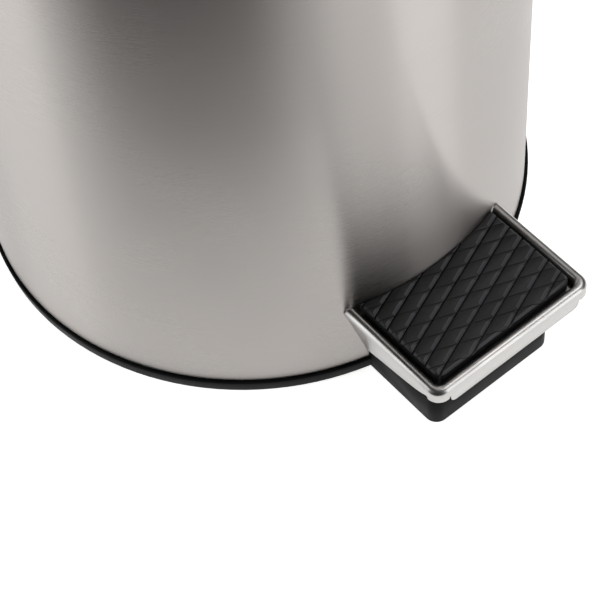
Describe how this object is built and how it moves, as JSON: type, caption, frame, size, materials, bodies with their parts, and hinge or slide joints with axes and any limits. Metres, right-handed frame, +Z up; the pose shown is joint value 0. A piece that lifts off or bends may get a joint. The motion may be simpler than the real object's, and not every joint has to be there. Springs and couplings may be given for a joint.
{
  "type": "pedal trash can",
  "caption": "Round pedal trash can: brushed steel shell, domed lid opened by a push rod, wide rubber-faced pedal on a fixed foot, and a lift-out bucket.",
  "frame": {"origin": "on the floor, under the centre of the whole object's box; the shell's axis is 18 mm behind it", "axes": "+Z up, -Y towards the pedal at the front, +Y towards the lid's hinge, +X to the right seen from the front"},
  "size_m": [0.2938, 0.372, 0.45],
  "materials": {
    "shell_steel": "brushed round the bin",
    "pedal_steel": "satin with a polished rim",
    "black_plastic": "moulded, fine texture",
    "pad_rubber": "moulded rubber, raised diamonds",
    "soft_rubber": "matt",
    "zinc_steel": "zinc plated",
    "bright_steel": "bright drawn steel",
    "spring_steel": "blackened spring steel",
    "nylon": "natural nylon",
    "bucket_plastic": "moulded, satin"
  },
  "bodies": {
    "body": {"outer_shell": "shell_steel", "base_moulding": "black_plastic", "base_pan": "zinc_steel", "base_screws": "bright_steel", "floor_pads": "soft_rubber", "pedal_axle": "bright_steel", "axle_clips": "spring_steel", "pedal_bumpers": "soft_rubber", "rod_guides": "nylon", "top_ring": "black_plastic", "hinge_bracket": "zinc_steel", "bracket_rivets": "bright_steel", "hinge_pin": "bright_steel", "hinge_pin_clip": "spring_steel", "hinge_cover": "black_plastic", "cover_screws": "bright_steel"},
    "pedal": {"pedal_lever": "zinc_steel", "lever_bushes": "nylon", "pedal_plate": "pedal_steel", "pedal_pad": "pad_rubber", "pedal_rivets": "bright_steel"},
    "rod": {"push_rod": "bright_steel", "rod_foot": "nylon", "rod_eye": "zinc_steel"},
    "lid": {"lid_shell": "shell_steel", "lid_liner": "black_plastic", "crank_pin": "bright_steel", "lid_bumpers": "soft_rubber"},
    "bucket": {"inner_bucket": "bucket_plastic"},
    "bail": {"bucket_bail": "bright_steel", "bail_grip": "black_plastic"}
  },
  "joints": [
    {"name": "lid_hinge", "type": "hinge", "parent": "body", "child": "lid", "pos_m": [0, 0.16693, 0.404], "axis": [-1, 0, 0], "range_deg": [0, 80]},
    {"name": "pedal_hinge", "type": "hinge", "parent": "body", "child": "pedal", "pos_m": [0, -0.012, 0.024], "axis": [1, 0, 0], "range_deg": [0, 8.14]},
    {"name": "rod_slide", "type": "slide", "parent": "body", "child": "rod", "axis": [0, 0, 1], "range_m": [0, 0.0232]},
    {"name": "bucket_lift", "type": "slide", "parent": "body", "child": "bucket", "axis": [0, 0, 1], "range_m": [0, 0.008]},
    {"name": "bail_swing", "type": "hinge", "parent": "bucket", "child": "bail", "pos_m": [0, 0.018, 0.3941], "axis": [-1, 0, 0], "range_deg": [0, 7]}
  ],
  "couplings": [
    {"joint": "pedal_hinge", "follows": "lid_hinge", "ratio": 0.10175},
    {"joint": "rod_slide", "follows": "lid_hinge", "m_per_rad": 0.016613}
  ]
}
